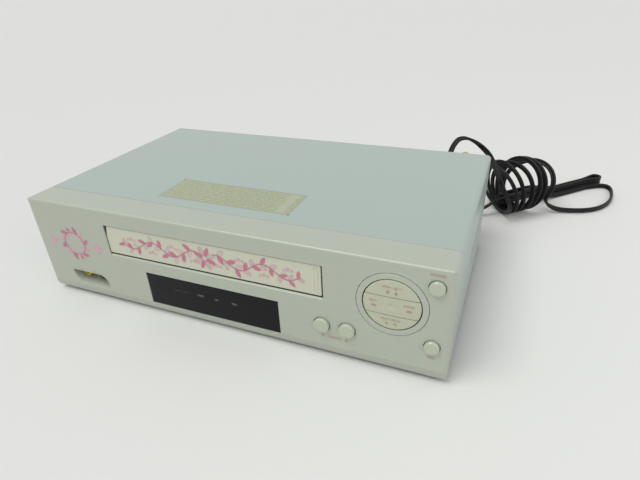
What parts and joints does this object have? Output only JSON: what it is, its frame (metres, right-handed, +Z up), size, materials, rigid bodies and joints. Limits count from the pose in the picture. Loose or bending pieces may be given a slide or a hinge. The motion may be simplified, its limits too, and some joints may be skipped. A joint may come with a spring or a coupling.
{
  "type": "vhs video cassette recorder",
  "caption": "Silver front-loading video cassette recorder with a flap door, smoked display window, round transport pad, round buttons and a trailing mains cord.",
  "frame": {"origin": "on the floor under the middle of the recorder's bounding box, the mains cord left out", "axes": "+X to the recorder's right end seen from the front, +Y from the front panel to the back, +Z up"},
  "size_m": [0.499, 0.4172, 0.094],
  "materials": {
    "bezel": "pale champagne-silver satin paint on moulded plastic",
    "cover": "pale blue-grey silver paint",
    "door": "cream",
    "smoked_window": "near-black smoked, polished",
    "display": "dark glass in a black cradle",
    "silver_button": "pale silver",
    "jack_housing": "black moulding with coloured rings",
    "zinc_steel": "zinc-plated sheet",
    "bright_metal": "polished",
    "cast_alloy": "machined casting",
    "brass": "plated",
    "white_moulding": "off-white",
    "circuit_board": "brown laminate with parts soldered on",
    "black_plastic": "black",
    "rubber": "dull black",
    "cord_skin": "dull black flexible sheath"
  },
  "bodies": {
    "body": {"aerial_in_socket": "brass", "aerial_out_socket": "brass", "bottom_chassis": "zinc_steel", "capstan_motor": "brass", "cassette_housing": "zinc_steel", "cord_bushing": "rubber", "cord_coil": "cord_skin", "deck_plate": "zinc_steel", "display_module": "display", "display_window": "smoked_window", "door_spring": "bright_metal", "drive_belt": "rubber", "erase_head": "cast_alloy", "foot_front_left": "rubber", "foot_front_right": "rubber", "foot_rear_left": "rubber", "foot_rear_right": "rubber", "front_bezel": "bezel", "front_board": "circuit_board", "front_jack_block": "jack_housing", "loading_motor": "zinc_steel", "lower_drum": "bright_metal", "main_board": "circuit_board", "power_board": "circuit_board", "power_cord": "cord_skin", "power_plug": "black_plastic", "power_transformer": "black_plastic", "rear_jack_block": "jack_housing", "rear_panel": "zinc_steel", "sound_head": "cast_alloy", "top_cover": "cover", "tuner": "bright_metal"},
    "door": {"cassette_door": "door"},
    "power": {"power_button": "silver_button"},
    "record": {"record_button": "silver_button"},
    "channel_down": {"channel_down_button": "silver_button"},
    "channel_up": {"channel_up_button": "silver_button"},
    "stop_eject": {"stop_eject_button": "silver_button"},
    "play": {"play_button": "silver_button"},
    "rocker": {"wind_rocker": "silver_button"},
    "slides": {"slide_left": "zinc_steel", "slide_right": "zinc_steel"},
    "holder": {"cassette_holder": "zinc_steel"},
    "rack_gear": {"rack_gear": "white_moulding"},
    "drum": {"upper_drum": "bright_metal", "drum_rotor": "cast_alloy"},
    "capstan": {"capstan_flywheel": "cast_alloy"},
    "clutch": {"clutch_pulley": "white_moulding"},
    "pinch_arm": {"pinch_arm": "zinc_steel"},
    "pinch_roller": {"pinch_roller": "rubber"},
    "supply_guide": {"supply_guide": "cast_alloy"},
    "takeup_guide": {"takeup_guide": "cast_alloy"},
    "supply_reel": {"supply_reel_table": "white_moulding"},
    "takeup_reel": {"takeup_reel_table": "white_moulding"},
    "idler_arm": {"idler_arm": "zinc_steel"},
    "idler_wheel": {"idler_wheel": "rubber"},
    "tension_arm": {"tension_arm": "zinc_steel"},
    "cam": {"cam_gear": "white_moulding"},
    "motor_pinion": {"motor_pinion": "white_moulding"}
  },
  "joints": [
    {"name": "door_hinge", "type": "hinge", "parent": "body", "child": "door", "pos_m": [0, -0.11385, 0.0837], "axis": [1, 0, 0], "range_deg": [0, 90], "stiffness_Nm_per_rad": 0.004, "springref_deg": -28.65},
    {"name": "power_press", "type": "slide", "parent": "body", "child": "power", "axis": [0, 1, 0], "range_m": [0, 0.0008], "stiffness_N_per_m": 300},
    {"name": "record_press", "type": "slide", "parent": "body", "child": "record", "axis": [0, 1, 0], "range_m": [0, 0.0008], "stiffness_N_per_m": 300},
    {"name": "channel_down_press", "type": "slide", "parent": "body", "child": "channel_down", "axis": [0, 1, 0], "range_m": [0, 0.0008], "stiffness_N_per_m": 300},
    {"name": "channel_up_press", "type": "slide", "parent": "body", "child": "channel_up", "axis": [0, 1, 0], "range_m": [0, 0.0008], "stiffness_N_per_m": 300},
    {"name": "stop_eject_press", "type": "slide", "parent": "body", "child": "stop_eject", "axis": [0, 1, 0], "range_m": [0, 0.0008], "stiffness_N_per_m": 300},
    {"name": "play_press", "type": "slide", "parent": "body", "child": "play", "axis": [0, 1, 0], "range_m": [0, 0.0008], "stiffness_N_per_m": 300},
    {"name": "wind_rock", "type": "hinge", "parent": "body", "child": "rocker", "pos_m": [0.1405, -0.11425, 0.0603], "axis": [0, 0, 1], "range_deg": [-2.5, 2.5], "stiffness_Nm_per_rad": 0.05},
    {"name": "holder_slide", "type": "slide", "parent": "body", "child": "slides", "axis": [0, 1, 0], "range_m": [0, 0.0466]},
    {"name": "holder_drop", "type": "slide", "parent": "slides", "child": "holder", "axis": [0, 0, -1], "range_m": [0, 0.0205]},
    {"name": "rack_gear_turn", "type": "hinge", "parent": "body", "child": "rack_gear", "pos_m": [0.0921, -0.03275, 0.03288], "axis": [1, 0, 0], "range_deg": [-329.61, 0]},
    {"name": "drum_spin", "type": "hinge", "parent": "body", "child": "drum", "pos_m": [-0.0032, 0.05925, 0.0272], "axis": [-0.1045, 0, 0.9945], "continuous": true},
    {"name": "capstan_spin", "type": "hinge", "parent": "body", "child": "capstan", "pos_m": [0.0528, 0.02875, 0.0272], "axis": [0, 0, 1], "continuous": true},
    {"name": "clutch_spin", "type": "hinge", "parent": "body", "child": "clutch", "pos_m": [-0.0032, -0.01525, 0.0272], "axis": [0, 0, 1], "continuous": true},
    {"name": "pinch_arm_swing", "type": "hinge", "parent": "body", "child": "pinch_arm", "pos_m": [0.0738, 0.03775, 0.0272], "axis": [0, 0, 1], "range_deg": [-22, 0]},
    {"name": "pinch_roller_spin", "type": "hinge", "parent": "pinch_arm", "child": "pinch_roller", "pos_m": [0.06647, 0.02077, 0.0272], "axis": [0, 0, 1], "continuous": true},
    {"name": "supply_reel_spin", "type": "hinge", "parent": "body", "child": "supply_reel", "pos_m": [-0.0494, -0.05025, 0.0272], "axis": [0, 0, 1], "continuous": true},
    {"name": "takeup_reel_spin", "type": "hinge", "parent": "body", "child": "takeup_reel", "pos_m": [0.043, -0.05025, 0.0272], "axis": [0, 0, 1], "continuous": true},
    {"name": "idler_arm_swing", "type": "hinge", "parent": "body", "child": "idler_arm", "pos_m": [-0.0032, -0.01525, 0.0272], "axis": [0, 0, 1], "range_deg": [-6.5, 6.5]},
    {"name": "idler_wheel_spin", "type": "hinge", "parent": "idler_arm", "child": "idler_wheel", "pos_m": [-0.0032, -0.05025, 0.0272], "axis": [0, 0, 1], "continuous": true},
    {"name": "tension_arm_swing", "type": "hinge", "parent": "body", "child": "tension_arm", "pos_m": [-0.0872, -0.01025, 0.0272], "axis": [0, 0, 1], "range_deg": [0, 14], "stiffness_Nm_per_rad": 0.005},
    {"name": "cam_turn", "type": "hinge", "parent": "body", "child": "cam", "pos_m": [-0.1242, 0.00975, 0.0272], "axis": [0, 0, 1], "range_deg": [0, 300]},
    {"name": "motor_pinion_turn", "type": "hinge", "parent": "body", "child": "motor_pinion", "pos_m": [-0.1242, 0.03413, 0.0272], "axis": [0, 0, 1], "range_deg": [-1002, 0]},
    {"name": "supply_guide_slide", "type": "slide", "parent": "body", "child": "supply_guide", "axis": [-0.4207, 0.9072, 0], "range_m": [0, 0.03803]},
    {"name": "takeup_guide_slide", "type": "slide", "parent": "body", "child": "takeup_guide", "axis": [0.4207, 0.9072, 0], "range_m": [0, 0.03803]}
  ],
  "couplings": [
    {"joint": "rack_gear_turn", "follows": "holder_slide", "rad_per_m": -123.08},
    {"joint": "clutch_spin", "follows": "capstan_spin", "ratio": 1.9009},
    {"joint": "motor_pinion_turn", "follows": "cam_turn", "ratio": -3.3333},
    {"joint": "supply_guide_slide", "follows": "cam_turn", "m_per_rad": 0.0072631},
    {"joint": "takeup_guide_slide", "follows": "cam_turn", "m_per_rad": 0.0072631}
  ]
}
